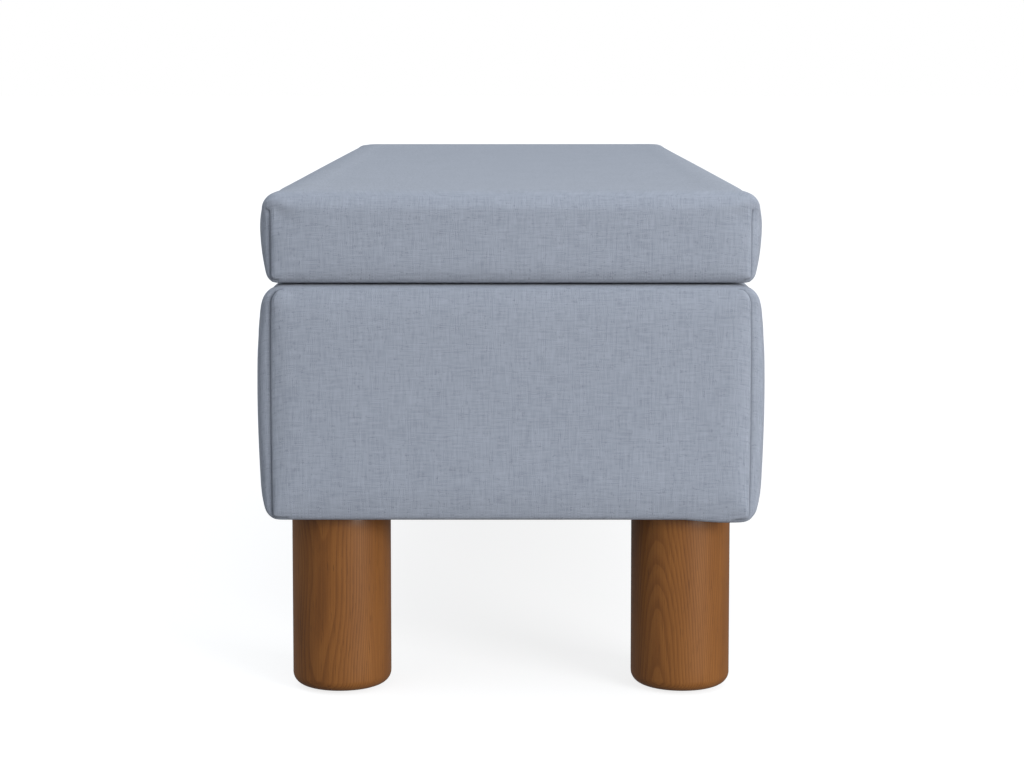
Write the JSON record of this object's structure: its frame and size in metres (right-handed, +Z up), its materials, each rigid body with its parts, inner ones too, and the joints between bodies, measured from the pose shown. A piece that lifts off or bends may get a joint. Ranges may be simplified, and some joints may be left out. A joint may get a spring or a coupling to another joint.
{
  "type": "ottoman with storage",
  "caption": "Long upholstered bench with a padded lid that opens on rear hinges over a storage box, on turned wooden legs.",
  "frame": {"origin": "on the floor, under the middle of the box", "axes": "+X along the bench's length, +Y towards the hinged rear side, +Z up"},
  "size_m": [1.24, 0.454, 0.457],
  "materials": {
    "linen": "matte slubby linen weave",
    "foam": "open-cell upholstery foam",
    "plywood": "raw plywood",
    "pine": "raw softwood",
    "walnut_stain": "walnut-stained satin lacquer",
    "lining_cloth": "matte non-woven cloth",
    "rubber": "matte",
    "nylon": "satin moulded",
    "zinc_steel": "zinc-plated steel"
  },
  "bodies": {
    "box": {"box_cover": "linen", "front_foam": "foam", "rear_foam": "foam", "left_end_foam": "foam", "right_end_foam": "foam", "front_panel": "plywood", "rear_panel": "plywood", "left_end_panel": "plywood", "right_end_panel": "plywood", "bottom_panel": "plywood", "storage_floor": "plywood", "corner_block_front_left": "pine", "corner_block_rear_left": "pine", "corner_block_front_right": "pine", "corner_block_rear_right": "pine", "floor_batten_left": "pine", "floor_batten_right": "pine", "leg_front_left": "walnut_stain", "leg_rear_left": "walnut_stain", "leg_front_right": "walnut_stain", "leg_rear_right": "walnut_stain", "storage_lining": "lining_cloth", "dust_cover": "lining_cloth", "bumper_left": "rubber", "bumper_right": "rubber", "glide_front_left": "nylon", "glide_rear_left": "nylon", "glide_front_right": "nylon", "glide_rear_right": "nylon", "hanger_bolt_front_left": "zinc_steel", "hanger_bolt_rear_left": "zinc_steel", "hanger_bolt_front_right": "zinc_steel", "hanger_bolt_rear_right": "zinc_steel", "tee_nut_front_left": "zinc_steel", "tee_nut_rear_left": "zinc_steel", "tee_nut_front_right": "zinc_steel", "tee_nut_rear_right": "zinc_steel", "hinge_left_box_leaf": "zinc_steel", "hinge_left_pin": "zinc_steel", "hinge_middle_box_leaf": "zinc_steel", "hinge_middle_pin": "zinc_steel", "hinge_right_box_leaf": "zinc_steel", "hinge_right_pin": "zinc_steel", "stay_left_box_bracket": "zinc_steel", "stay_right_box_bracket": "zinc_steel"},
    "lid": {"lid_board": "plywood", "lid_foam": "foam", "lid_cover": "linen", "lid_lining": "lining_cloth", "hinge_left_lid_leaf": "zinc_steel", "hinge_middle_lid_leaf": "zinc_steel", "hinge_right_lid_leaf": "zinc_steel", "stay_left_lid_bracket": "zinc_steel", "stay_right_lid_bracket": "zinc_steel"},
    "stay_left_lower_arm": {"stay_left_lower_arm": "zinc_steel"},
    "stay_left_upper_arm": {"stay_left_upper_arm": "zinc_steel"},
    "stay_right_lower_arm": {"stay_right_lower_arm": "zinc_steel"},
    "stay_right_upper_arm": {"stay_right_upper_arm": "zinc_steel"}
  },
  "joints": [
    {"name": "lid_hinge", "type": "hinge", "parent": "box", "child": "lid", "pos_m": [0, 0.222, 0.37475], "axis": [-1, 0, 0], "range_deg": [0, 95]},
    {"name": "stay_left_lower_pivot", "type": "hinge", "parent": "box", "child": "stay_left_lower_arm", "pos_m": [-0.5843, 0.06326, 0.32975], "axis": [-1, 0, 0], "range_deg": [0, 95]},
    {"name": "stay_left_upper_pivot", "type": "hinge", "parent": "lid", "child": "stay_left_upper_arm", "pos_m": [-0.581, 0.05744, 0.36275], "axis": [-1, 0, 0], "range_deg": [-95, 0]},
    {"name": "stay_right_lower_pivot", "type": "hinge", "parent": "box", "child": "stay_right_lower_arm", "pos_m": [0.5843, 0.06326, 0.32975], "axis": [-1, 0, 0], "range_deg": [0, 95]},
    {"name": "stay_right_upper_pivot", "type": "hinge", "parent": "lid", "child": "stay_right_upper_arm", "pos_m": [0.581, 0.05744, 0.36275], "axis": [-1, 0, 0], "range_deg": [-95, 0]}
  ],
  "couplings": [
    {"joint": "stay_left_lower_pivot", "follows": "lid_hinge", "ratio": 1},
    {"joint": "stay_left_upper_pivot", "follows": "lid_hinge", "ratio": -1},
    {"joint": "stay_right_lower_pivot", "follows": "lid_hinge", "ratio": 1},
    {"joint": "stay_right_upper_pivot", "follows": "lid_hinge", "ratio": -1}
  ]
}
